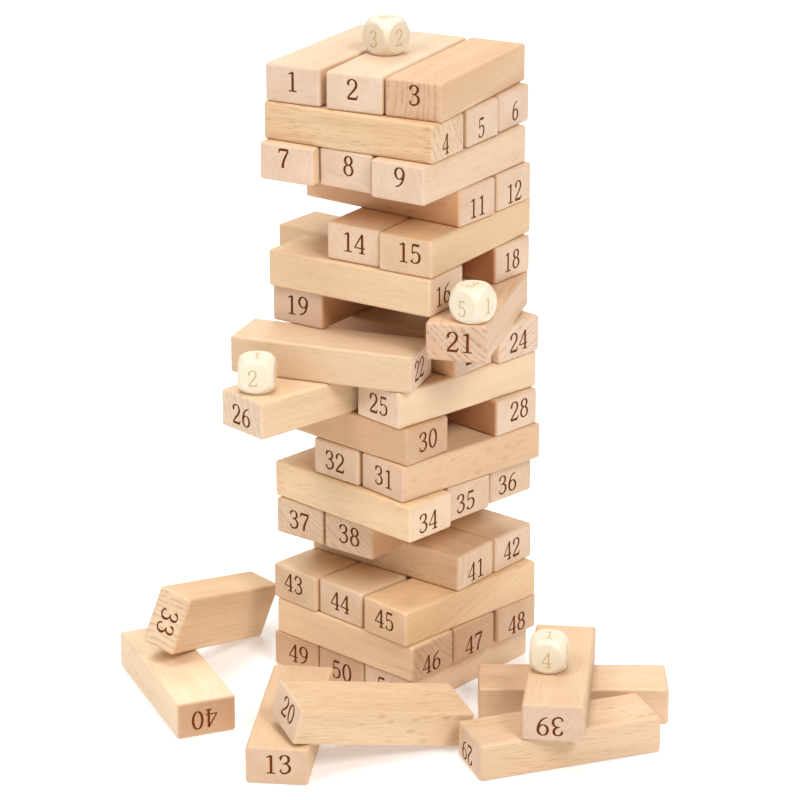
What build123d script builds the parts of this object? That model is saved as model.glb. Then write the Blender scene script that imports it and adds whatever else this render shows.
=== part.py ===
from build123d import *
import os

# Tumbling tower game, caught in the middle of play: 43 numbered wooden blocks
# still standing in 17 layers, 8 blocks already drawn out, and 4 dice.
# Millimetres, +Z up. The origin is on the underside of block 50, the middle
# block of the bottom layer. Every block and every die is a piece of its own.

# Driving dimensions
BLOCK_LENGTH = 75.0
BLOCK_WIDTH = 24.0
BLOCK_HEIGHT = 15.0
BLOCK_ROUND = 1.2
DIE_SIZE = 14.0
DIE_BALL = 18.4
DIE_ROUND = 1.2

# Stacking: side by side spacing in a layer, and the rise from layer to layer.
# The rise leaves 0.02 mm of air, so no two blocks share a face.
COLUMN_PITCH = 24.6
REST_GAP = 0.02
LAYER_RISE = BLOCK_HEIGHT + REST_GAP

# Layers from the bottom up. Each is (turn in degrees, x, y, its blocks).
# A block is (number, column, along, aside, twist): column -1, 0 or 1 counts
# along +X in an even layer and along +Y in an odd one, along and aside shift
# it lengthways and sideways, and twist adds to the turn of its layer.
# Even layers lie along Y and odd layers along X.
LAYERS = [
    (-3.5, 0.0, 0.0, [(49, -1, 0, 0, 0), (50, 0, 0, 0, 0), (51, 1, 0, 0, 0)]),
    (-5.0, 4.0, -1.5, [(46, -1, -0.5, -0.5, 0), (47, 0, 0, -0.5, 0), (48, 1, 0, 1.0, 0)]),
    (-6.5, 2.5, -1.5, [(43, -1, -0.5, -0.5, 0), (44, 0, 1.0, -0.5, 0), (45, 1, 0, 1.5, -1.5)]),
    (-1.5, 2.0, -1.5, [(41, 0, 0, -0.5, 1.0), (42, 1, 0.5, 0.5, -1.0)]),
    (-0.5, 1.5, 0.5, [(37, -1, 0, 0, 0), (38, 0, -0.5, 0.5, 0.5)]),
    (-8.0, 1.5, -0.5, [(34, -1, 3.5, -2.0, 1.5), (35, 0, -0.5, 0, 0), (36, 1, -2.5, 2.0, -0.5)]),
    (-8.0, 1.0, 0.5, [(32, 0, -0.5, -2.0, 3.0), (31, 1, 0.5, 2.0, -2.5)]),
    (-6.5, 1.5, -0.5, [(30, -1, -1.5, 0, 1.0), (28, 1, 2.0, 0, -1.0)]),
    (-10.0, 1.0, 1.5, [(26, 0, -46.0, -2.5, 0), (25, 1, 0, 0, 0)]),
    (-4.5, 2.0, -0.5, [(22, -1, -3.5, -14.5, 21.5), (23, 0, -1.5, -1.0, 2.0), (24, 1, 1.5, 1.0, -1.5)]),
    (3.5, -2.0, 3.5, [(19, -1, 0, 0, 0), (21, 1, -5.0, 14.0, 19.5)]),
    (0.0, -1.0, 1.0, [(16, -1, 2.0, -1.0, 4.0), (17, 0, -16.0, 1.0, 0), (18, 1, -1.5, 1.0, 0)]),
    (5.0, -0.5, 2.0, [(14, 0, 1.0, 0, 0), (15, 1, -0.5, 0, 0)]),
    (1.0, -1.0, 0.0, [(11, 0, 0.5, -0.5, -0.5), (12, 1, -0.5, 0.5, 1.0)]),
    (4.5, -1.0, -2.5, [(7, -1, -2.0, -2.0, 3.5), (8, 0, 2.5, 0.5, -1.0), (9, 1, -1.0, 1.0, 0)]),
    (6.5, -2.0, 1.5, [(4, -1, 0, -2.5, 0), (5, 0, 0, 0.5, -1.0), (6, 1, -0.5, 1.0, 0)]),
    (10.5, -3.0, 2.0, [(1, -1, 0.5, -1.0, -1.5), (2, 0, -0.5, 0, 0.5), (3, 1, 0, 0.5, 0)]),
]

# Drawn blocks lying flat on the ground: number, x, y, turn in degrees.
GROUND_BLOCKS = [
    (40, -50.0, -83.5, -30.5),
    (13, 11.5, -86.5, -59.0),
    (29, 101.5, -32.5, 57.0),
    (27, 84.0, 2.0, 36.5),
    (10, -56.0, 46.0, 84.0),
]

# Block 39 lies flat across blocks 29 and 27.
CROSSED_BLOCK = (39, 91.5, -18.5, -59.5)

# Drawn blocks leaning on the long top edge of a block on the ground, with one
# corner on the ground: number, the block it leans on, shift along that edge,
# distance down the slope, turn in the sloping plane, slope in degrees, lift
# off the plane through the sharp edge, and whether it lies on its narrow side.
LEANING_BLOCKS = [
    (20, 13, 7.0, 20.0, 121.0, 15.0, -0.25, False),
    (33, 40, -25.0, 8.5, 129.0, 21.0, -0.32, True),
]

# Dice: name, x, y, turn in degrees, the block each one lies on.
DICE = [
    ("die_top", -7.0, -0.5, -6.0, 2),
    ("die_right", 53.0, -25.0, 0.0, 21),
    ("die_front", -15.5, -71.0, 34.0, 26),
    ("die_side", 90.0, -24.0, 27.0, 39),
]


def block_solid():
    """One block, its length along X, centred, with every edge rounded."""
    body = Box(BLOCK_LENGTH, BLOCK_WIDTH, BLOCK_HEIGHT)
    return fillet(body.edges(), BLOCK_ROUND)


def die_solid():
    """One die, centred: a cube turned down to a ball, which leaves six round flats."""
    body = Box(DIE_SIZE, DIE_SIZE, DIE_SIZE) & Sphere(DIE_BALL / 2)
    return fillet(body.edges(), DIE_ROUND)


def tower_place(level, layer, block):
    """Where a block of the tower lies. Its +X end points to +Y or to +X."""
    turn, x, y, _ = layer
    _, column, along, aside, twist = block
    sideways = column * COLUMN_PITCH + aside
    height = level * LAYER_RISE + BLOCK_HEIGHT / 2
    centre = Pos(x, y, height) * Rot(0, 0, turn)
    if level % 2 == 0:
        return centre * Pos(sideways, along, 0) * Rot(0, 0, twist + 90)
    return centre * Pos(along, sideways, 0) * Rot(0, 0, twist)


def flat_place(x, y, turn, underside):
    """Where a block lying flat goes, from the height of its underside."""
    return Pos(x, y, underside + BLOCK_HEIGHT / 2) * Rot(0, 0, turn)


def leaning_place(support, along, down, turn, slope, lift, on_side):
    """Where a leaning block goes, worked out from the block it leans on."""
    edge = support * Pos(0, BLOCK_WIDTH / 2, BLOCK_HEIGHT / 2)
    plane = edge * Rot(-slope, 0, 0)
    place = plane * Pos(along, down, 0) * Rot(0, 0, turn)
    if on_side:
        return place * Pos(0, 0, BLOCK_WIDTH / 2 + lift) * Rot(90, 0, 0)
    return place * Pos(0, 0, BLOCK_HEIGHT / 2 + lift)


def block_places():
    """The place of every block, by number."""
    places = {}
    for level, layer in enumerate(LAYERS):
        for block in layer[3]:
            places[block[0]] = tower_place(level, layer, block)
    for number, x, y, turn in GROUND_BLOCKS:
        places[number] = flat_place(x, y, turn, 0)
    number, x, y, turn = CROSSED_BLOCK
    places[number] = flat_place(x, y, turn, LAYER_RISE)
    for number, support, along, down, turn, slope, lift, on_side in LEANING_BLOCKS:
        base = places[support]
        places[number] = leaning_place(base, along, down, turn, slope, lift, on_side)
    return places


def die_places(places):
    """The place of every die, on top of its block."""
    found = {}
    for name, x, y, turn, under in DICE:
        top = places[under].position.Z + BLOCK_HEIGHT / 2 + REST_GAP
        found[name] = Pos(x, y, top + DIE_SIZE / 2) * Rot(0, 0, turn)
    return found


def main():
    os.makedirs("parts", exist_ok=True)
    places = block_places()
    block = block_solid()
    for number, place in places.items():
        export_step(place * block, f"parts/block_{number:02d}.step")
    die = die_solid()
    for name, place in die_places(places).items():
        export_step(place * die, f"parts/{name}.step")


main()
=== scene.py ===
import math
import random

import bpy
import numpy as np
from mathutils import Matrix, Vector
from mathutils.geometry import delaunay_2d_cdt


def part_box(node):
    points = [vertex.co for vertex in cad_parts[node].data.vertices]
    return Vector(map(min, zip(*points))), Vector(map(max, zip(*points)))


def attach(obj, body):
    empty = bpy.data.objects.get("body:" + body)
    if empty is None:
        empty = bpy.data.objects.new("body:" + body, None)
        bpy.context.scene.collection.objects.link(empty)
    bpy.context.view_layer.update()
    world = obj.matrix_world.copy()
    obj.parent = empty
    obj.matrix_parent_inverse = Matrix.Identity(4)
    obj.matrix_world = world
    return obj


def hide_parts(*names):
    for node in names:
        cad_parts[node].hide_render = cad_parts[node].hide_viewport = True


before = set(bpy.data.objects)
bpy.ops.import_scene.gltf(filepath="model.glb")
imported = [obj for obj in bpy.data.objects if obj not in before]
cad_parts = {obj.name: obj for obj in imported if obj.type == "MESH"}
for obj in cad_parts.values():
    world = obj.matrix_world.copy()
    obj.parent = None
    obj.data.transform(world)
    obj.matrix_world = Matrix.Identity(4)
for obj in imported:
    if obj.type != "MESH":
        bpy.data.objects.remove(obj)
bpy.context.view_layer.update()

MM = 0.001

# Block
BLOCK = Vector((75.0, 24.0, 15.0)) * MM
BLOCK_ROUND = 1.2 * MM
ROUND_STEPS = 5

# Burnt numerals: the height of one, its hairline and full stroke as shares of the
# height, how far it is stretched sideways, how far apart two stand, and the depth.
NUMERAL_HEIGHT = 8.2 * MM
NUMERAL_THIN = 0.058
NUMERAL_THICK = 0.13
NUMERAL_STRETCH = 1.22
NUMERAL_PITCH = 0.68
NUMERAL_DEPTH = 0.3 * MM

# Die: half the distance across its flats, the radius of the ball that it is turned
# down to, and the rounding of the rims. Its numerals are given as the burnt ones are.
DIE_HALF = 7.0 * MM
DIE_BALL = 9.2 * MM
DIE_ROUND = 1.2 * MM
DIE_SPOKES = 48
RIM_STEPS = 5
BALL_STEPS = 3
DIE_NUMERAL_HEIGHT = 6.8 * MM
DIE_NUMERAL_THIN = 0.05
DIE_NUMERAL_THICK = 0.1
DIE_NUMERAL_STRETCH = 1.15
DIE_NUMERAL_DEPTH = 0.15 * MM

# Dice: the numerals on the sides towards -y, +x and up, and how far in millimetres
# the first one sits off the middle, to the right and up.
DICE = {
    "die_top": ("3", "2", "6", (0, -0.5)),
    "die_right": ("5", "1", "3", (0, -1)),
    "die_front": ("2", "3", "1", (-1, 0)),
    "die_side": ("4", "5", "1", (0, -0.5)),
}
OPPOSITE_SIDES_ADD_UP_TO = 7

# Colours: linear red, green and blue, and an alpha of 1.
WOOD_PALE = (0.76, 0.545, 0.35, 1)
WOOD_DEEP = (0.7, 0.475, 0.285, 1)
WOOD_FIBRE = (0.6, 0.385, 0.215, 1)
WOOD_STREAK = (0.56, 0.31, 0.14, 1)
WOOD_RING = (0.42, 0.245, 0.135, 1)
WOOD_RAY = (0.46, 0.24, 0.1, 1)
# Painted shade: the deeper orange of the rounded edges, for the shade in the cracks between blocks.
WOOD_EDGE_PAINTED_SHADE = (0.76, 0.49, 0.28, 1)
WOOD_END_FACTOR = (0.96, 1.0, 1.22, 1)
CHAR_DARK = (0.125, 0.028, 0.005, 1)
CHAR_BROWN = (0.25, 0.06, 0.012, 1)
RESIN_PALE = (0.82, 0.735, 0.59, 1)
RESIN_DEEP = (0.81, 0.705, 0.53, 1)
GOLD_DEEP = (0.6, 0.44, 0.2, 1)
GOLD_PALE = (0.67, 0.53, 0.28, 1)
FLOOR_WHITE = (0.8, 0.795, 0.785, 1)

# How thick a year's wood is on average, in millimetres.
YEAR = 2.6

# Studio: the light from all round, and four round soft boxes, each with its place
# and width in metres, its watts and its colour.
WORLD_COLOUR = (1, 0.99, 0.975, 1)
WORLD_STRENGTH = 0.26
LIGHTS = {
    "left": ((-0.7, -2.2, 2.7), 1.4, 39.5, (1, 0.99, 0.98)),
    "right": ((2.4, -0.8, 2.5), 1.4, 66, (1, 0.99, 0.98)),
    "back": ((-1.2, 1.6, 2.6), 1.5, 32, (1, 1, 1)),
    "above": ((0.0, -0.2, 3.4), 1.4, 39, (1, 1, 1)),
}
LIGHTS_TARGET = (0, 0, 0.12)

# Floor, in metres: how far it reaches each way, and how far it lies below the blocks.
FLOOR_REACH = 6.0
FLOOR_DROP = 0.0002

# Camera: its lens in millimetres, its direction in degrees, and metres.
CAMERA_LENS = 135.2
CAMERA_AZIMUTH = 37.2
CAMERA_ELEVATION = 19.97
CAMERA_DISTANCE = 1.206
CAMERA_TARGET = Vector((-0.0004, -0.0003, 0.1139))

BLOCK_NUMBERS = range(1, 52)

# Blocks that lie upside down, so their numerals do too.
UPSIDE_DOWN = (27, 29, 39, 40)

# How far the burnt number sits off the middle of its end: to the right and up,
# in millimetres.
NUMBER_SHIFT = {
    1: (0, 1.5), 2: (-0.5, 1.5), 3: (0.5, 2), 4: (-2, -1.5), 5: (-1.5, -1.5), 6: (0.5, -1),
    7: (-1, 2), 8: (1.5, 2), 9: (1, 2), 11: (0, -1.5), 12: (0, -2), 13: (0.5, 1), 14: (0.5, 1),
    15: (2, 1.5), 16: (-2.5, -0.5), 18: (-0.5, 0), 19: (0, 0.5), 20: (1.5, 1.5), 21: (1.5, 0.5),
    22: (-2.5, 0), 24: (-0.5, -0.5), 25: (0.5, 0), 26: (0, -0.5), 28: (1.5, 1), 29: (2, 1.5),
    30: (0, 0.5), 31: (1, 0.5), 32: (-0.5, 0), 33: (0.5, 0.5), 34: (-1.5, -1), 35: (-2, -1),
    36: (-2, -1), 38: (0.5, 0.5), 39: (1, 1), 40: (1, 0.5), 41: (0, -1.5), 42: (-1, 0),
    43: (-0.5, 1.5), 44: (0, 0.5), 45: (0, 1), 46: (-1, -2), 47: (-0.5, -2), 48: (0, -2),
    49: (1.5, 0.5), 50: (0.5, 0),
}

# Blocks whose rings show: which way the heart of the trunk lies, seen on the end in
# degrees from the right, how far in millimetres, and how strong the rings are.
FIGURE = {
    1: (100, 150, 0.35), 2: (80, 140, 0.35), 3: (175, 32, 1.6), 4: (30, 60, 1.6),
    7: (350, 130, 0.3), 9: (200, 120, 0.5), 20: (90, 150, 0.2), 21: (45, 90, 2.4),
    24: (300, 60, 1.2), 26: (15, 70, 1.2), 33: (5, 85, 1.7), 37: (60, 80, 1.2),
    38: (50, 60, 1.4), 41: (180, 75, 1.3), 46: (40, 60, 1.4),
}

# Blocks sawn askew, whose rings run out across a long side: how far they lean,
# and how strong they are on the sides.
ASKEW = {45: (0.32, 1.5)}

# How well flecked the long sides are, from the bare ones at 0.
FLECKS = {
    1: 0.2, 4: 1.5, 13: 0.3, 16: 0.8, 20: 1.5, 22: 0.6, 29: 1.3, 33: 0.3, 34: 1.0,
    40: 0.7, 41: 1.2, 46: 0.4,
}

# Blocks of a clearly different shade: a factor for red, green and blue. Partly the wood's own tone, partly
# painted light: 30 is darkened with painted shade under the overhang, and 34, 39, 40 and 41 to 46 are
# lightened or darkened against how the light falls on them.
BLOCK_TONE_AND_PAINTED_LIGHT = {
    1: (1.0, 1.02, 1.08), 2: (1.0, 1.04, 1.12), 3: (0.96, 0.88, 0.82), 4: (1.0, 0.97, 0.9),
    9: (1.0, 1.02, 1.08), 11: (0.98, 0.96, 0.98), 14: (1.02, 1.0, 0.98), 15: (1.0, 0.96, 0.88),
    20: (1.02, 1.03, 1.03), 21: (0.97, 0.92, 0.9), 24: (1.0, 1.02, 1.08), 25: (1.07, 1.12, 1.2),
    26: (1.06, 1.1, 1.13), 28: (1.0, 1.02, 1.06), 30: (0.83, 0.73, 0.64), 31: (1.0, 0.97, 0.96),
    34: (1.12, 1.15, 1.13), 35: (1.0, 0.98, 0.98), 39: (0.95, 0.93, 0.92), 40: (1.18, 1.27, 1.36),
    41: (1.08, 1.08, 1.08), 42: (1.05, 1.05, 1.08), 43: (1.08, 1.1, 1.1), 44: (1.12, 1.15, 1.18),
    45: (1.13, 1.11, 1.02), 46: (1.2, 1.25, 1.26), 47: (1.0, 0.96, 0.92), 48: (1.02, 0.98, 0.94),
}

# Blocks whose ends are darker than their sides: a factor for red, green and blue. Mostly the end grain's own
# colour and stain; on 1, 13 and 39 it is painted shade that dims brightly lit ends.
END_TONE_AND_PAINTED_SHADE = {
    1: (0.96, 0.95, 0.96), 3: (0.95, 0.92, 0.9), 13: (0.9, 0.86, 0.83), 21: (0.93, 0.9, 0.88),
    25: (0.94, 0.92, 0.9), 31: (0.94, 0.9, 0.88), 38: (0.95, 0.92, 0.88), 39: (0.94, 0.93, 0.95),
    40: (0.65, 0.5, 0.38), 46: (0.74, 0.65, 0.58), 47: (0.86, 0.78, 0.7), 48: (0.93, 0.88, 0.82),
    49: (0.82, 0.72, 0.62), 50: (0.88, 0.8, 0.72),
}

# Painted shade: blocks with one long side, the one seen deep in a gap of the tower, of a deeper brown that
# stands for the shade there: which side, left -1 or right 1 of the number, and a factor for red, green and
# blue.
GAP_SIDE_PAINTED_SHADE = {
    11: (-1, (1.06, 0.9, 0.76)), 18: (-1, (0.72, 0.46, 0.32)), 19: (1, (0.85, 0.64, 0.5)),
    23: (-1, (0.9, 0.72, 0.6)), 28: (-1, (0.74, 0.5, 0.36)), 38: (1, (0.98, 0.88, 0.8)),
}


# ---------------------------------------------------------------- numerals

def arc(cx, cy, rx, ry, start, end, steps=16):
    """Points on an ellipse from one angle to another, in degrees."""
    points = []
    for i in range(steps + 1):
        a = math.radians(start + (end - start) * i / steps)
        points.append((cx + rx * math.cos(a), cy + ry * math.sin(a)))
    return points


def bend(p, q, r, s, steps=14):
    """Points on a cubic curve from p to s, pulled by q and r."""
    points = []
    for i in range(steps + 1):
        t = i / steps
        u = 1 - t
        w = (u ** 3, 3 * u * u * t, 3 * u * t * t, t ** 3)
        points.append(tuple(w[0] * p[k] + w[1] * q[k] + w[2] * r[k] + w[3] * s[k] for k in (0, 1)))
    return points


def numeral_strokes(thin, thick):
    """The ten numerals as strokes (points, start width, end width) in a box one high.

    A width of None lets the stroke swell with its slope: thin across, thick up and down.
    """
    ring = (None, None)
    bar = thin * 1.1
    return {
        "0": [(arc(0.27, 0.5, 0.19, 0.455, 90, 450, 32), *ring)],
        "1": [
            ([(0.29, 0.93), (0.29, 0.03)], thick, thick),
            ([(0.29, 0.93), (0.2, 0.86), (0.11, 0.82)], thick * 0.75, thin),
            ([(0.12, 0.025), (0.46, 0.025)], bar, bar),
        ],
        "2": [
            (bend((0.08, 0.72), (0.08, 1.05), (0.45, 1.03), (0.43, 0.7)), *ring),
            (bend((0.43, 0.7), (0.41, 0.48), (0.16, 0.3), (0.06, 0.06)), thick, thin * 1.3),
            ([(0.06, 0.055), (0.44, 0.055)], thick * 0.95, thick * 0.95),
            ([(0.43, 0.05), (0.48, 0.22)], thin * 1.6, thin),
            ([(0.08, 0.735), (0.125, 0.7)], thick * 1.2, thick * 1.2),
        ],
        "3": [
            (bend((0.09, 0.77), (0.12, 1.03), (0.43, 1.01), (0.41, 0.74)), *ring),
            (bend((0.41, 0.74), (0.4, 0.58), (0.27, 0.53), (0.19, 0.53)), thick, thin),
            (bend((0.19, 0.53), (0.5, 0.56), (0.52, 0.14), (0.3, 0.05)), *ring),
            (bend((0.3, 0.05), (0.2, 0.01), (0.1, 0.06), (0.07, 0.19)), thin * 1.6, thin * 1.3),
            ([(0.08, 0.19), (0.12, 0.17)], thick * 1.2, thick * 1.2),
            ([(0.09, 0.78), (0.13, 0.76)], thick * 1.2, thick * 1.2),
        ],
        "4": [
            ([(0.37, 0.95), (0.37, 0.03)], thick, thick),
            ([(0.37, 0.95), (0.03, 0.27)], thin * 1.5, thin),
            ([(0.03, 0.27), (0.5, 0.27)], bar, bar),
            ([(0.23, 0.025), (0.49, 0.025)], bar, bar),
        ],
        "5": [
            ([(0.13, 0.92), (0.43, 0.92)], thick * 0.95, thick * 0.95),
            ([(0.13, 0.93), (0.11, 0.52)], thin * 1.2, thin * 1.1),
            (bend((0.11, 0.5), (0.22, 0.64), (0.47, 0.62), (0.44, 0.3)), *ring),
            (bend((0.44, 0.3), (0.43, 0.02), (0.12, -0.03), (0.07, 0.17)), *ring),
            ([(0.08, 0.18), (0.12, 0.15)], thick * 1.2, thick * 1.2),
        ],
        "6": [
            (bend((0.43, 0.93), (0.22, 0.9), (0.09, 0.66), (0.08, 0.3)), thin, thick),
            (arc(0.27, 0.3, 0.185, 0.265, 90, 450, 28), *ring),
        ],
        "7": [
            ([(0.07, 0.91), (0.47, 0.91)], thick * 0.95, thick * 0.95),
            ([(0.07, 0.92), (0.05, 0.74)], thin * 1.6, thin),
            (bend((0.46, 0.89), (0.36, 0.62), (0.22, 0.4), (0.21, 0.03)), thin * 1.5, thick * 1.1),
        ],
        "8": [
            (arc(0.27, 0.745, 0.15, 0.205, 90, 450, 26), *ring),
            (arc(0.27, 0.285, 0.185, 0.25, 90, 450, 26), *ring),
        ],
        "9": [
            (bend((0.11, 0.07), (0.32, 0.1), (0.45, 0.34), (0.46, 0.7)), thin, thick),
            (arc(0.27, 0.7, 0.185, 0.265, 90, 450, 28), *ring),
        ],
    }


def ribbon(points, start, end, thin, thick):
    """A stroke as a run of four-sided pieces, each counter-clockwise."""
    count = len(points)
    closed = math.dist(points[0], points[-1]) < 1e-6
    sides = []
    for i, (x, y) in enumerate(points):
        before = points[i - 1] if i else points[-2] if closed else points[0]
        after = points[i + 1] if i + 1 < count else points[1] if closed else points[-1]
        dx, dy = after[0] - before[0], after[1] - before[1]
        size = math.hypot(dx, dy)
        if start is None:
            width = thin + (thick - thin) * abs(dy / size) ** 1.4
        else:
            width = start + (end - start) * i / (count - 1)
        ox, oy = -dy / size * width / 2, dx / size * width / 2
        sides.append(((x + ox, y + oy), (x - ox, y - oy)))
    pieces = []
    for (a, b), (c, d) in zip(sides, sides[1:]):
        pieces.append([a, b, d, c])
    return pieces


def number_pieces(text, height, thin, thick, stretch=1.0, shift=(0.0, 0.0)):
    """The numerals of a number as flat pieces, centred on the shift."""
    strokes = numeral_strokes(thin, thick)
    pieces = []
    for place, digit in enumerate(text):
        start_x = (place - (len(text) - 1) / 2) * NUMERAL_PITCH
        for points, start, end in strokes[digit]:
            points = [((x - 0.27) * stretch, y - 0.49) for x, y in points]
            for piece in ribbon(points, start, end, thin, thick):
                pieces.append([((x + start_x) * height + shift[0], y * height + shift[1]) for x, y in piece])
    return pieces


# ------------------------------------------------------------------ meshes

class Shell:
    """A mesh under construction: shared points, faces, materials and corner normals."""

    def __init__(self):
        self.points = []
        self.index = {}
        self.faces = []
        self.materials = []
        self.normals = []
        self.smooth = []

    def point(self, p):
        """The number of the point here, which is made if there isn't one yet."""
        key = tuple(round(c * 1e7) for c in p)
        if key not in self.index:
            self.index[key] = len(self.points)
            self.points.append(Vector(p))
        return self.index[key]

    def face(self, corners, material, normals=None, smooth=False):
        """Adds a face, leaving out corners that fall together."""
        ids = [self.point(p) for p in corners]
        if len(set(ids)) < len(ids):
            kept = [i for k, i in enumerate(ids) if i not in ids[:k]]
            if len(kept) < 3:
                return
            if normals:
                normals = [normals[ids.index(i)] for i in kept]
            ids = kept
        if normals is None:
            a, b, c = (self.points[i] for i in ids[:3])
            normals = [(b - a).cross(c - a).normalized()] * len(ids)
        self.faces.append(ids)
        self.materials.append(material)
        self.normals.extend(normals)
        self.smooth.append(smooth)


def corner_patches(shell, core, radius, steps):
    """The eight rounded corners and twelve rounded edges of a box with this core."""
    def direction(i, j):
        theta = math.pi / 2 * i / steps
        phi = math.pi / 2 * j / steps
        return Vector((math.sin(theta) * math.cos(phi), math.sin(theta) * math.sin(phi), math.cos(theta)))

    def place(sign, d):
        n = Vector((sign[0] * d.x, sign[1] * d.y, sign[2] * d.z))
        return Vector((sign[0] * core.x, sign[1] * core.y, sign[2] * core.z)) + n * radius, n

    def add(quad, flip):
        quad = quad[::-1] if flip else quad
        shell.face([p for p, n in quad], 0, [n for p, n in quad], True)

    signs = [(x, y, z) for x in (1, -1) for y in (1, -1) for z in (1, -1)]
    for sign in signs:
        flip = sign[0] * sign[1] * sign[2] < 0
        for i in range(steps):
            for j in range(steps):
                ring = [(i, j), (i + 1, j), (i + 1, j + 1), (i, j + 1)]
                add([place(sign, direction(*k)) for k in ring], flip)
    arcs = {
        0: lambda k: Vector((0, math.sin(k), math.cos(k))),
        1: lambda k: Vector((math.sin(k), 0, math.cos(k))),
        2: lambda k: Vector((math.cos(k), math.sin(k), 0)),
    }
    for axis, curve in arcs.items():
        for s in (1, -1):
            for t in (1, -1):
                low, high = [s, t], [s, t]
                low.insert(axis, -1)
                high.insert(axis, 1)
                for i in range(steps):
                    a, b = (math.pi / 2 * k / steps for k in (i, i + 1))
                    ends = ((low, a), (high, a), (high, b), (low, b))
                    quad = [place(sign, curve(k)) for sign, k in ends]
                    across = (quad[1][0] - quad[0][0]).cross(quad[3][0] - quad[0][0])
                    add(quad, across.dot(quad[0][1] + quad[2][1]) < 0)


def flat_side(shell, middle, right, up, edge, pieces, depth):
    """A flat side with this outline, with the numeral pieces sunk into it."""
    normal = right.cross(up)

    def at(p, sunk=0.0):
        return middle + right * p[0] + up * p[1] - normal * sunk

    if not pieces:
        shell.face([at(p) for p in edge], 0, [normal] * len(edge))
        return
    coords = [Vector(p) for p in edge]
    loops = [list(range(len(edge)))]
    for piece in pieces:
        area = sum(a[0] * b[1] - a[1] * b[0] for a, b in zip(piece, piece[1:] + piece[:1]))
        ordered = piece if area > 0 else piece[::-1]
        loops.append(list(range(len(coords), len(coords) + len(ordered))))
        coords.extend(Vector(p) for p in ordered)
    # The cut is made in millimetres, and points of it that fall together become one.
    cut = delaunay_2d_cdt([c * 1000.0 for c in coords], [], loops, 0, 1e-4)
    verts = [v / 1000.0 for v in cut[0]]
    first = {}
    same = [first.setdefault((round(v.x, 3), round(v.y, 3)), i) for i, v in enumerate(cut[0])]
    # Faces inside any loop but the outline, loop 0, are sunk. Walls go where they end.
    sunk_edges = {}
    for corners, owner in zip(cut[2], cut[5]):
        face = [same[i] for i in corners]
        if len(set(face)) < 3:
            continue
        if any(o > 0 for o in owner):
            shell.face([at(verts[i], depth) for i in face], 1, [normal] * len(face))
            for a, b in zip(face, face[1:] + face[:1]):
                sunk_edges[(a, b)] = True
        else:
            shell.face([at(verts[i]) for i in face], 0, [normal] * len(face))
    for a, b in sunk_edges:
        if (b, a) not in sunk_edges:
            wall = [at(verts[a]), at(verts[b]), at(verts[b], depth), at(verts[a], depth)]
            shell.face(wall, 1)


def rounded_box(name, size, radius, steps, numbers, depth, materials):
    """A rounded box. numbers maps an outward axis such as "+x" to the pieces sunk in there."""
    shell = Shell()
    half = size / 2
    core = half - Vector((radius,) * 3)
    corner_patches(shell, core, radius, steps)
    x, y, z = Vector((1, 0, 0)), Vector((0, 1, 0)), Vector((0, 0, 1))
    sides = {
        "+x": (x * half.x, y, z, core.y, core.z),
        "-x": (-x * half.x, -y, z, core.y, core.z),
        "+y": (y * half.y, -x, z, core.x, core.z),
        "-y": (-y * half.y, x, z, core.x, core.z),
        "+z": (z * half.z, x, y, core.x, core.y),
        "-z": (-z * half.z, x, -y, core.x, core.y),
    }
    for key, (middle, right, up, wide, high) in sides.items():
        edge = [(-wide, -high), (wide, -high), (wide, high), (-wide, high)]
        flat_side(shell, middle, right, up, edge, numbers.get(key), depth)
    return finished(shell, name, materials)


def turned_cube(name, half, ball, radius, numbers, depth, materials):
    """A cube turned down to a ball, which leaves six round flats with rounded rims."""
    shell = Shell()
    reach = math.sqrt((ball - radius) ** 2 - (half - radius) ** 2)
    tip = math.atan2(reach, half - radius)
    x, y, z = Vector((1, 0, 0)), Vector((0, 1, 0)), Vector((0, 0, 1))
    sides = {
        "+x": (x, y, z),
        "-x": (-x, -y, z),
        "+y": (y, -x, z),
        "-y": (-y, x, z),
        "+z": (z, x, y),
        "-z": (-z, x, -y),
    }
    for key, (normal, right, up) in sides.items():
        turns = [2 * math.pi * k / DIE_SPOKES for k in range(DIE_SPOKES)]
        lines = []
        for turn in turns:
            out = right * math.cos(turn) + up * math.sin(turn)
            line = []
            for i in range(RIM_STEPS + 1):
                a = tip * i / RIM_STEPS
                n = out * math.sin(a) + normal * math.cos(a)
                line.append((out * reach + normal * (half - radius) + n * radius, n))
            far = math.atan(1 / max(abs(math.cos(turn)), abs(math.sin(turn))))
            for i in range(1, BALL_STEPS + 1):
                a = tip + (far - tip) * i / BALL_STEPS
                n = out * math.sin(a) + normal * math.cos(a)
                line.append((n * ball, n))
            lines.append(line)
        for a, b in zip(lines, lines[1:] + lines[:1]):
            for i in range(len(a) - 1):
                quad = [a[i], a[i + 1], b[i + 1], b[i]]
                shell.face([p for p, n in quad], 0, [n for p, n in quad], True)
        edge = [(reach * math.cos(turn), reach * math.sin(turn)) for turn in turns]
        flat_side(shell, normal * half, right, up, edge, numbers.get(key), depth)
    return finished(shell, name, materials)


def finished(shell, name, materials):
    """The shell as an object in the scene."""
    mesh = bpy.data.meshes.new(name)
    mesh.from_pydata(shell.points, [], shell.faces)
    for material in materials:
        mesh.materials.append(material)
    mesh.polygons.foreach_set("material_index", shell.materials)
    mesh.polygons.foreach_set("use_smooth", shell.smooth)
    mesh.normals_split_custom_set([tuple(n) for n in shell.normals])
    mesh.update()
    obj = bpy.data.objects.new(name, mesh)
    bpy.context.scene.collection.objects.link(obj)
    return obj


def give(mesh, name, kind, values):
    """Adds a point attribute that the materials read."""
    layer = mesh.attributes.new(name, kind, "POINT")
    if kind == "FLOAT_VECTOR":
        layer.data.foreach_set("vector", np.array(values, dtype=np.float32).ravel())
    else:
        layer.data.foreach_set("value", np.array(values, dtype=np.float32))


# --------------------------------------------------------------- materials

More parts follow.
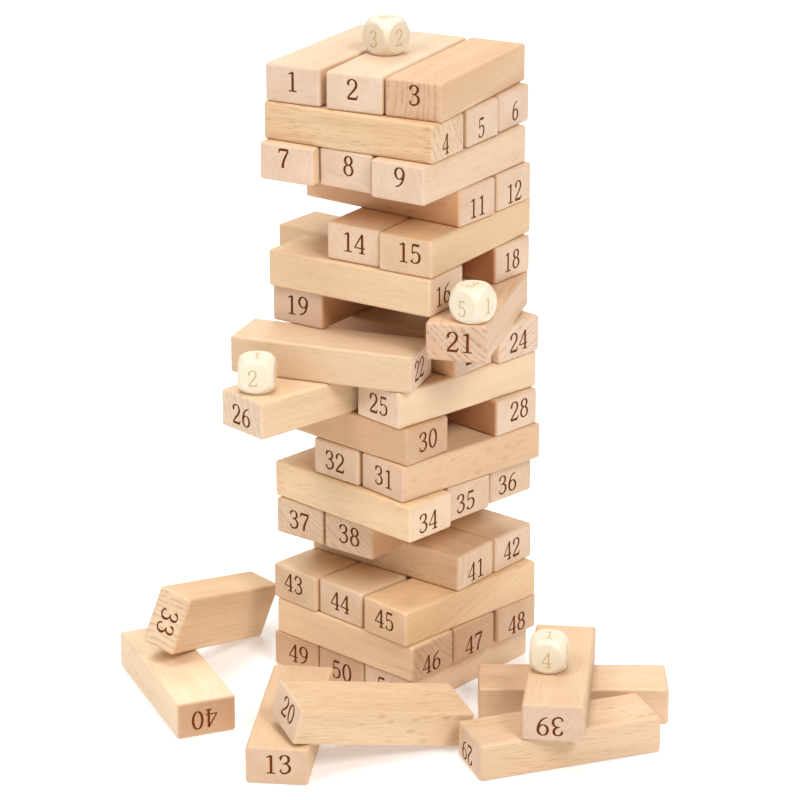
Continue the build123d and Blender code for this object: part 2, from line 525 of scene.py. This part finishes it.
class Graph:
    """Short forms for building a node tree."""

    def __init__(self, name):
        self.material = bpy.data.materials.new(name)
        self.material.use_nodes = True
        self.tree = self.material.node_tree
        self.shader = self.tree.nodes["Principled BSDF"]

    def node(self, kind, inputs=(), **settings):
        made = self.tree.nodes.new("ShaderNode" + kind)
        for key, value in settings.items():
            setattr(made, key, value)
        for key, value in dict(inputs).items():
            if isinstance(value, bpy.types.NodeSocket):
                self.tree.links.new(value, made.inputs[key])
            else:
                made.inputs[key].default_value = value
        return made

    def math(self, operation, a, b=0.0):
        return self.node("Math", {0: a, 1: b}, operation=operation).outputs[0]

    def times(self, a, b):
        return self.math("MULTIPLY", a, b)

    def plus(self, a, b):
        return self.math("ADD", a, b)

    def step(self, value, low, high, to_low=0.0, to_high=1.0):
        inputs = {0: value, 1: low, 2: high, 3: to_low, 4: to_high}
        return self.node("MapRange", inputs, interpolation_type="SMOOTHSTEP").outputs[0]

    def noise(self, vector, scale, detail=2.0, roughness=0.5):
        inputs = {"Vector": vector, "Scale": scale, "Detail": detail, "Roughness": roughness}
        return self.node("TexNoise", inputs).outputs["Fac"]

    def scaled(self, vector, factors):
        return self.node("VectorMath", {0: vector, 1: factors}, operation="MULTIPLY").outputs[0]

    def mix(self, factor, a, b, blend="MIX"):
        inputs = {0: factor, 6: a, 7: b}
        return self.node("Mix", inputs, data_type="RGBA", blend_type=blend).outputs[2]

    def attribute(self, name, output="Fac"):
        return self.node("Attribute", attribute_name=name).outputs[output]

    def set(self, key, value):
        if isinstance(value, bpy.types.NodeSocket):
            self.tree.links.new(value, self.shader.inputs[key])
        else:
            self.shader.inputs[key].default_value = value


def beech_material():
    """Sanded beech: rings and rays of one solid texture, in millimetres of trunk."""
    g = Graph("beech")
    trunk = g.attribute("trunk", "Vector")
    tint_with_painted_light = g.attribute("tint_with_painted_light", "Vector")
    end = g.attribute("end_grain")
    edge = g.attribute("edge")
    split = g.node("SeparateXYZ", {0: trunk}).outputs
    warp = g.noise(g.scaled(trunk, (0.03, 0.03, 0.006)), 1.0, 2.0)
    wander = g.times(g.math("SUBTRACT", warp, 0.5), 8.0)
    squared = g.plus(g.times(split[0], split[0]), g.times(split[1], split[1]))
    radius = g.plus(g.math("SQRT", squared), wander)
    around = g.times(g.math("ARCTAN2", split[1], split[0]), radius)

    # Growth rings: a slow darkening that stops short at the end of the year.
    width = g.noise(g.node("CombineXYZ", {0: radius}).outputs[0], 0.09, 1.0)
    year = g.math("FRACT", g.plus(g.math("DIVIDE", radius, YEAR), g.times(width, 3.0)))
    late = g.times(g.step(year, 0.45, 0.93), g.step(year, 1.0, 0.94))
    broken = g.noise(g.scaled(trunk, (0.4, 0.4, 0.03)), 1.0, 2.0)
    late = g.times(late, g.step(broken, 0.3, 0.62))

    # Fibres, drawn out along the grain.
    fibre = g.noise(g.scaled(trunk, (1.1, 1.1, 0.035)), 1.0, 3.0, 0.6)
    fine = g.noise(g.scaled(trunk, (5.0, 5.0, 0.25)), 1.0, 2.0, 0.6)

    # Rays: thin ribbons that run from the pith, seen as short flecks.
    stretched = {0: g.times(around, 1.3), 1: g.times(radius, 0.3), 2: g.times(split[2], 0.13)}
    polar = g.node("CombineXYZ", stretched).outputs[0]
    cell = g.node("TexVoronoi", {"Vector": polar, "Scale": 1.0, "Randomness": 1.0})
    chosen = g.step(g.node("SeparateColor", {0: cell.outputs["Color"]}).outputs[0], 0.2, 0.4)
    fleck = g.times(g.step(cell.outputs["Distance"], 0.36, 0.16), chosen)
    patch = g.step(g.noise(g.scaled(trunk, (0.06, 0.06, 0.03)), 1.0, 1.0), 0.3, 0.6)
    fleck = g.times(g.times(fleck, patch), g.attribute("flecks"))
    fleck = g.times(fleck, g.step(end, 0.9, 0.2))

    # Short darker streaks between the rays.
    streak = g.step(g.noise(g.scaled(trunk, (2.0, 2.0, 0.1)), 1.0, 2.0, 0.55), 0.46, 0.74)
    streak = g.times(g.times(streak, g.attribute("flecks")), g.step(end, 0.9, 0.2))

    # Colour: broad drifts of pale and deep, then the fibres, streaks, rings and rays, the end grain, painted
    # shade on the rounded edges, and the tint with its painted light and shade.
    broad = g.noise(g.scaled(trunk, (0.09, 0.09, 0.012)), 1.0, 2.0)
    colour = g.mix(g.step(broad, 0.3, 0.75), WOOD_PALE, WOOD_DEEP)
    colour = g.mix(g.times(g.step(fibre, 0.45, 0.8), 0.22), colour, WOOD_FIBRE)
    colour = g.mix(g.times(streak, 0.35), colour, WOOD_STREAK)
    strength = g.times(g.plus(0.12, g.times(end, 0.22)), g.attribute("figure"))
    colour = g.mix(g.times(late, strength), colour, WOOD_RING)
    colour = g.mix(g.times(fleck, 0.4), colour, WOOD_RAY)
    colour = g.mix(g.times(end, 0.5), colour, g.mix(1.0, colour, WOOD_END_FACTOR, "MULTIPLY"))
    # Painted shade: the rounded edges drift towards a deeper orange, as the cracks between blocks look in
    # shade.
    colour = g.mix(g.times(edge, 0.35), colour, WOOD_EDGE_PAINTED_SHADE)
    # The tint carries each block's tone with its painted light and shade.
    colour = g.mix(1.0, colour, tint_with_painted_light, "MULTIPLY")
    g.set("Base Color", colour)
    g.set("Roughness", g.step(g.plus(fine, g.times(edge, -0.3)), 0.2, 0.8, 0.4, 0.58))
    g.set("Specular IOR Level", 0.5)
    height = g.plus(g.times(fine, 0.5), g.times(fibre, 0.5))
    height = g.math("SUBTRACT", height, g.times(fleck, 0.3))
    bump = g.node("Bump", {"Height": height, "Strength": 0.35, "Distance": 0.00012})
    g.set("Normal", bump.outputs[0])
    return g.material


def burnt_material():
    """The floor and walls of a burnt numeral."""
    g = Graph("burnt_numeral")
    trunk = g.attribute("trunk", "Vector")
    char = g.noise(g.scaled(trunk, (2.2, 2.2, 2.2)), 1.0, 3.0, 0.6)
    g.set("Base Color", g.mix(g.step(char, 0.3, 0.75), CHAR_DARK, CHAR_BROWN))
    g.set("Roughness", g.step(char, 0.2, 0.8, 0.75, 0.95))
    g.set("Specular IOR Level", 0.05)
    bump = g.node("Bump", {"Height": char, "Strength": 0.5, "Distance": 0.0001})
    g.set("Normal", bump.outputs[0])
    return g.material


def die_material():
    """Cream cast resin, faintly cloudy, with a soft polish."""
    g = Graph("die_resin")
    place = g.attribute("trunk", "Vector")
    cloud = g.noise(g.scaled(place, (0.12, 0.12, 0.12)), 1.0, 3.0)
    g.set("Base Color", g.mix(g.step(cloud, 0.3, 0.7), RESIN_PALE, RESIN_DEEP))
    smear = g.noise(g.scaled(place, (0.7, 0.7, 0.7)), 1.0, 4.0, 0.65)
    g.set("Roughness", g.step(smear, 0.3, 0.7, 0.32, 0.46))
    g.set("Subsurface Weight", 0.25)
    g.set("Subsurface Radius", (0.004, 0.003, 0.0015))
    bump = g.node("Bump", {"Height": smear, "Strength": 0.1, "Distance": 0.0001})
    g.set("Normal", bump.outputs[0])
    return g.material


def die_ink_material():
    """The pale gold filling of a die's numerals."""
    g = Graph("die_gold")
    place = g.attribute("trunk", "Vector")
    grit = g.noise(g.scaled(place, (2.5, 2.5, 2.5)), 1.0, 3.0)
    g.set("Base Color", g.mix(g.step(grit, 0.3, 0.7), GOLD_DEEP, GOLD_PALE))
    g.set("Roughness", g.step(grit, 0.2, 0.8, 0.45, 0.65))
    return g.material


# ------------------------------------------------------------------ pieces

def axes_of(node):
    """A CAD box's centre and axes, from the one that the most area faces to the least."""
    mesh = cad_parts[node].data
    count = len(mesh.polygons)
    normal = np.empty(count * 3, dtype=np.float32)
    area = np.empty(count, dtype=np.float32)
    mesh.polygons.foreach_get("normal", normal)
    mesh.polygons.foreach_get("area", area)
    normal = normal.reshape(-1, 3).astype(float)
    spread = (normal * area[:, None]).T @ normal
    values, vectors = np.linalg.eigh(spread)
    order = np.argsort(values)[::-1]
    points = np.empty(len(mesh.vertices) * 3, dtype=np.float32)
    mesh.vertices.foreach_get("co", points)
    points = points.reshape(-1, 3).astype(float)
    axes = [vectors[:, i] for i in order]
    centre = sum(a * (((points @ a).max() + (points @ a).min()) / 2) for a in axes)
    return Vector(centre), [Vector(a).normalized() for a in axes]


def block_matrix(number):
    """Where a block goes: its length along x and its numerals upright along z."""
    centre, (up, _, along) = axes_of(f"block_{number:02d}")
    # Most blocks lie flat. The near end of each is the one towards +x and -y.
    if abs(up.z) > 0.5:
        sign = -1 if number in UPSIDE_DOWN else 1
        up = up * sign * math.copysign(1, up.z)
    else:
        up = up * math.copysign(1, up.x)
    if along.x - along.y < 0:
        along = -along
    side = up.cross(along)
    turn = Matrix((along, side, up)).transposed().to_4x4()
    return Matrix.Translation(centre) @ turn


def paint_block(mesh, number):
    """Gives a block's points their place in the trunk and their tint, which holds painted light and shade.

    Chance, seeded with the number, settles what the tables leave open.
    """
    chance = random.Random(number * 7 + 3)
    random_figure = (chance.uniform(0, 360), chance.uniform(60, 130), chance.uniform(0.1, 0.55))
    swing, heart, figure = FIGURE.get(number, random_figure)
    swing = math.radians(swing)
    away = (-math.cos(swing), -math.sin(swing))
    round_it = (math.sin(swing), -math.cos(swing))
    start = chance.uniform(-400, 400)
    lean = [chance.uniform(-0.04, 0.04) for _ in range(2)]
    lean[1], figure_on_sides = ASKEW.get(number, (lean[1], figure))
    # Painted shade: which long side lies deep in a gap, and how much deeper brown it is painted.
    facing, painted_gap_side_shade = GAP_SIDE_PAINTED_SHADE.get(number, (1, (1, 1, 1)))
    core = BLOCK / 2 - Vector((BLOCK_ROUND,) * 3)
    trunk, end, edge, side = [], [], [], []
    for v in mesh.vertices:
        p = v.co
        run = p.x / MM
        y, z = p.y / MM + run * lean[0], p.z / MM + run * lean[1]
        across = y * away[0] + z * away[1] + heart
        trunk.append((across, y * round_it[0] + z * round_it[1], run + start))
        inside = Vector(max(-c, min(c, q)) for q, c in zip(p, core))
        n = (p - inside) / BLOCK_ROUND
        end.append(min(1.0, abs(n.x)))
        side.append(max(0.0, min(1.0, n.y * facing)))
        edge.append(max(0.0, min(1.0, (1 - max(abs(c) for c in n)) * 3)))
    light = chance.uniform(0.97, 1.03)
    warm = chance.uniform(-0.03, 0.03)
    # The tone: the wood's own at random, or from the table, where some blocks carry painted light and shade.
    tone_with_painted_light = BLOCK_TONE_AND_PAINTED_LIGHT.get(number, (light * (1 + warm * 0.3), light, light * (1 - warm * 2)))
    # The ends' own darker colour, with painted shade on the ends of 1, 13 and 39.
    end_tone_and_painted_shade = END_TONE_AND_PAINTED_SHADE.get(number, (1, 1, 1))
    # Painted light and shade go into the tint, with the gap side's painted shade.
    tint_with_painted_light = []
    for at_end, at_gap_side in zip(end, side):
        factors = zip(tone_with_painted_light, end_tone_and_painted_shade, painted_gap_side_shade)
        tint_with_painted_light.append([a * (1 + (b - 1) * at_end) * (1 + (c - 1) * at_gap_side) for a, b, c in factors])
    flecks = FLECKS.get(number, chance.uniform(0.2, 1.0))
    give(mesh, "trunk", "FLOAT_VECTOR", trunk)
    give(mesh, "end_grain", "FLOAT", end)
    give(mesh, "edge", "FLOAT", edge)
    give(mesh, "tint_with_painted_light", "FLOAT_VECTOR", tint_with_painted_light)
    give(mesh, "figure", "FLOAT", [figure_on_sides + (figure - figure_on_sides) * e for e in end])
    give(mesh, "flecks", "FLOAT", [flecks] * len(mesh.vertices))


def make_block(number, beech, burnt):
    """A block with its number on both ends, shifted as the tables say on the near one."""
    name = f"block_{number:02d}"
    shift = [c * MM for c in NUMBER_SHIFT.get(number, (0.0, 0.0))]
    style = (NUMERAL_HEIGHT, NUMERAL_THIN, NUMERAL_THICK, NUMERAL_STRETCH)
    numbers = {"+x": number_pieces(str(number), *style, shift), "-x": number_pieces(str(number), *style)}
    shape = (BLOCK, BLOCK_ROUND, ROUND_STEPS)
    obj = rounded_box("wood_" + name, *shape, numbers, NUMERAL_DEPTH, [beech, burnt])
    paint_block(obj.data, number)
    obj.data.transform(block_matrix(number))
    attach(obj, name)
    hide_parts(name)


def die_matrix(node):
    """Where a die goes: upright, with the flat that faces most towards -y as its front."""
    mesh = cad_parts[node].data
    low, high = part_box(node)
    centre = (Vector(low) + Vector(high)) / 2
    areas = {}
    for p in mesh.polygons:
        key = tuple(round(c, 3) for c in p.normal)
        areas[key] = areas.get(key, 0.0) + p.area
    flats = sorted(areas, key=areas.get, reverse=True)[:6]
    front = min((n for n in flats if abs(n[2]) < 0.1), key=lambda n: n[1])
    y = Vector((-front[0], -front[1], 0)).normalized()
    z = Vector((0, 0, 1))
    turn = Matrix((y.cross(z), y, z)).transposed().to_4x4()
    return Matrix.Translation(centre) @ turn


def opposite(numeral):
    return str(OPPOSITE_SIDES_ADD_UP_TO - int(numeral))


def make_die(node, resin, gold):
    """A die with a numeral on each side."""
    front, right, top, off = DICE[node]
    texts = {"-y": front, "+x": right, "+z": top}
    texts.update({"+y": opposite(front), "-x": opposite(right), "-z": opposite(top)})
    style = (DIE_NUMERAL_HEIGHT, DIE_NUMERAL_THIN, DIE_NUMERAL_THICK, DIE_NUMERAL_STRETCH)
    numbers = {}
    for key, text in texts.items():
        shift = [c * MM for c in off] if key == "-y" else (0.0, 0.0)
        numbers[key] = number_pieces(text, *style, shift)
    shape = (DIE_HALF, DIE_BALL, DIE_ROUND)
    obj = turned_cube("resin_" + node, *shape, numbers, DIE_NUMERAL_DEPTH, [resin, gold])
    # Which part of the resin's clouds the die is turned from.
    start = Vector((len(node) * 31.0, 17.0, 5.0))
    give(obj.data, "trunk", "FLOAT_VECTOR", [tuple(v.co / MM + start) for v in obj.data.vertices])
    obj.data.transform(die_matrix(node))
    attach(obj, node)
    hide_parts(node)


# ------------------------------------------------------------------- stage

def make_floor():
    """A plain pale floor, just under the blocks."""
    mesh = bpy.data.meshes.new("floor")
    s = FLOOR_REACH
    mesh.from_pydata([(-s, -s, 0), (s, -s, 0), (s, s, 0), (-s, s, 0)], [], [(0, 1, 2, 3)])
    floor = bpy.data.objects.new("floor", mesh)
    bpy.context.scene.collection.objects.link(floor)
    floor.location.z = -FLOOR_DROP
    g = Graph("floor_paper")
    where = g.node("TexCoord").outputs["Object"]
    grain = g.noise(g.scaled(where, (900, 900, 900)), 1.0, 2.0)
    g.set("Base Color", FLOOR_WHITE)
    g.set("Roughness", g.step(grain, 0.2, 0.8, 0.8, 0.9))
    g.set("Specular IOR Level", 0.2)
    g.set("Emission Color", (1, 1, 1, 1))
    g.set("Emission Strength", 0.3)
    mesh.materials.append(g.material)


def aim(obj, target):
    """Turns a light or the camera to look at the target."""
    obj.rotation_mode = "QUATERNION"
    obj.rotation_quaternion = (Vector(target) - obj.location).to_track_quat("-Z", "Y")


def make_light(name, place, size, power, colour):
    """One soft box of the studio."""
    data = bpy.data.lights.new(name, "AREA")
    data.shape = "DISK"
    data.size = size
    data.energy = power
    data.color = colour
    lamp = bpy.data.objects.new(name, data)
    bpy.context.scene.collection.objects.link(lamp)
    lamp.location = place
    lamp.visible_camera = False
    aim(lamp, LIGHTS_TARGET)


def make_lights():
    world = bpy.data.worlds.new("studio")
    bpy.context.scene.world = world
    world.use_nodes = True
    sky = world.node_tree.nodes["Background"].inputs
    sky["Color"].default_value = WORLD_COLOUR
    sky["Strength"].default_value = WORLD_STRENGTH
    for name, (place, size, power, colour) in LIGHTS.items():
        make_light(name, place, size, power, colour)


def make_camera():
    """The camera at the photograph's viewing angle."""
    data = bpy.data.cameras.new("camera")
    data.lens = CAMERA_LENS
    data.sensor_width = 36
    camera = bpy.data.objects.new("camera", data)
    bpy.context.scene.collection.objects.link(camera)
    azimuth, elevation = math.radians(CAMERA_AZIMUTH), math.radians(CAMERA_ELEVATION)
    flat = math.cos(elevation)
    back = Vector((math.sin(azimuth) * flat, -math.cos(azimuth) * flat, math.sin(elevation)))
    camera.location = CAMERA_TARGET + back * CAMERA_DISTANCE
    aim(camera, CAMERA_TARGET)
    bpy.context.scene.camera = camera


def main():
    beech, burnt = beech_material(), burnt_material()
    for number in BLOCK_NUMBERS:
        make_block(number, beech, burnt)
    resin, gold = die_material(), die_ink_material()
    for node in DICE:
        make_die(node, resin, gold)
    make_floor()
    make_lights()
    make_camera()
    bpy.context.scene.view_settings.view_transform = "Standard"


main()
